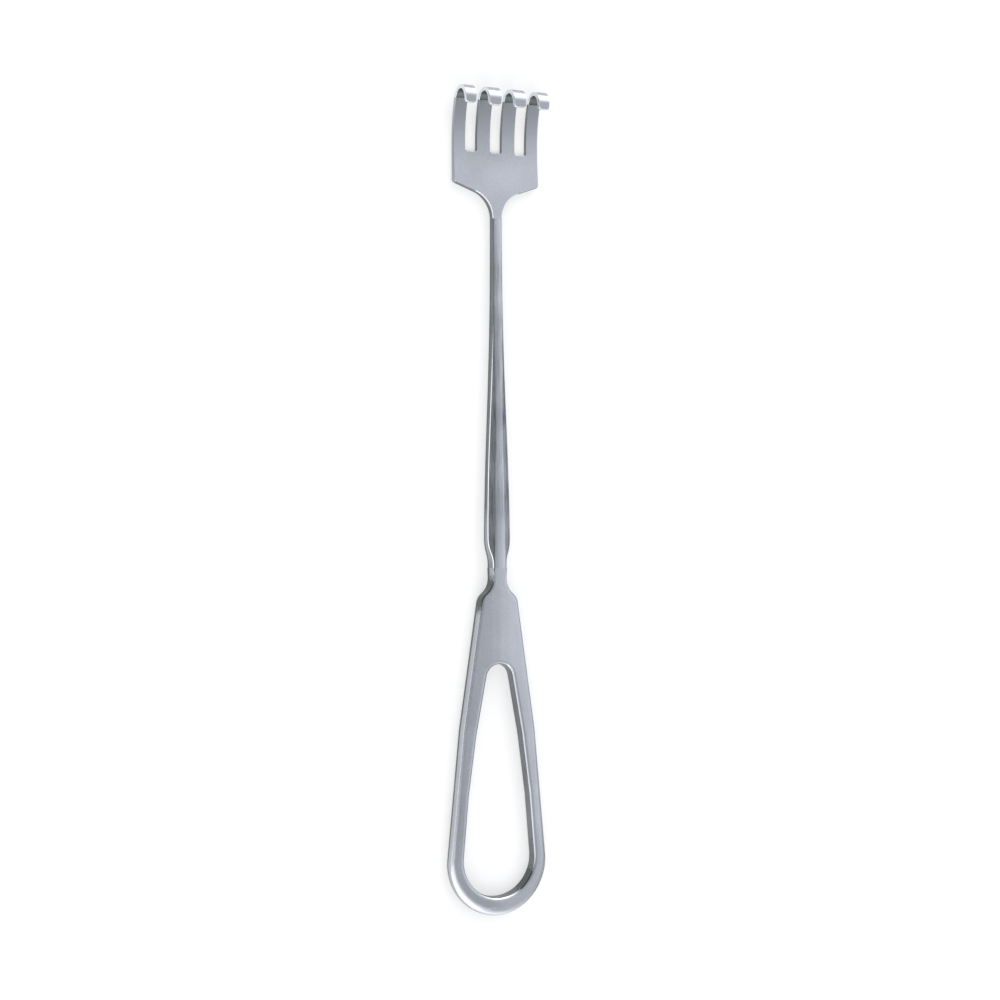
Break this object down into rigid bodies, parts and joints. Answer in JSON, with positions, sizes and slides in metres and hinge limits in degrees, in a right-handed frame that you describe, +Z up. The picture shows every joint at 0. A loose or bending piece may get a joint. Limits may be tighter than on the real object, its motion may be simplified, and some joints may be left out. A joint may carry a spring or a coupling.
{
  "type": "rake retractor",
  "caption": "Hand-held surgical rake retractor in satin steel, with blunt hooked prongs, a tapering faceted shank and an open loop handle.",
  "frame": {"origin": "on the centre line, halfway along the instrument, in the plane that its flat back lies on", "axes": "+Y from the loop of the handle to the crowns of the hooks, +Z up from the flat back towards the side that the hooks turn to, +X across"},
  "size_m": [0.028, 0.2184, 0.009],
  "materials": {
    "satin_steel": "satin"
  },
  "bodies": {
    "root": {"rake_head": "satin_steel", "shank": "satin_steel", "handle": "satin_steel"}
  },
  "joints": []
}
